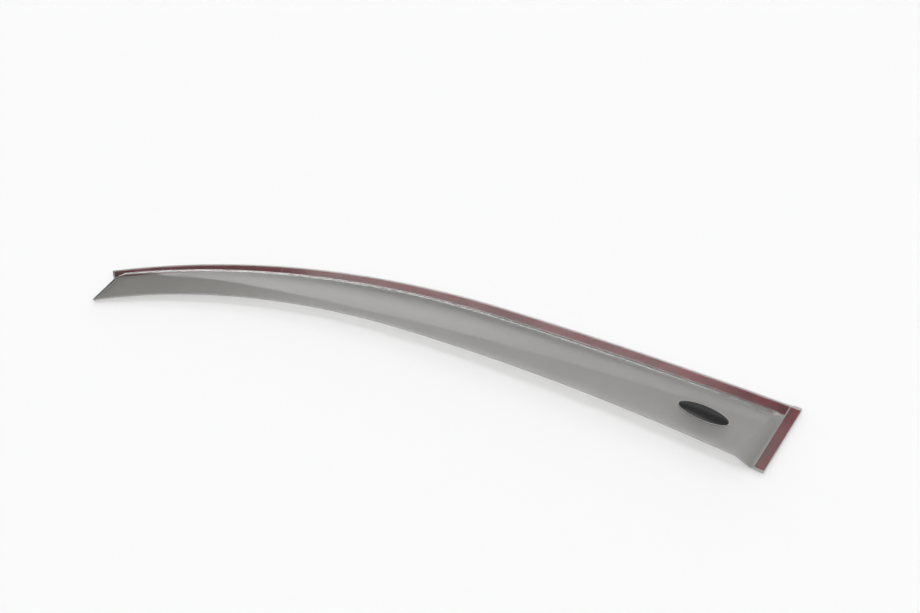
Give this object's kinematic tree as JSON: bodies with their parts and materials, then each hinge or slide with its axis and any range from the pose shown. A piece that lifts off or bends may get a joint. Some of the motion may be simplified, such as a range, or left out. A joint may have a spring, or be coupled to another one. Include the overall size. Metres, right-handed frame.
{
  "type": "window rain deflector",
  "caption": "Long curved smoked plastic deflector for a car door's window frame, with a stepped flange, an end flange, an oval badge and red-lined adhesive strips.",
  "frame": {"origin": "centre of the outline in plan, on the plane of the liners' undersides", "axes": "+X along the length towards the rear end with the end flange, +Y towards the stuck top edge, +Z out from the door's face"},
  "size_m": [0.9058, 0.1381, 0.0202],
  "materials": {
    "smoked_acrylic": "polished, see-through grey",
    "badge_black": "glossy black",
    "clear_tape": "soft, clear",
    "red_liner": "smooth release film"
  },
  "bodies": {
    "root": {"visor": "smoked_acrylic", "badge": "badge_black", "top_front_tape": "clear_tape", "top_rear_tape": "clear_tape", "end_tape": "clear_tape", "top_front_liner": "red_liner", "top_rear_liner": "red_liner", "end_liner": "red_liner"}
  },
  "joints": []
}
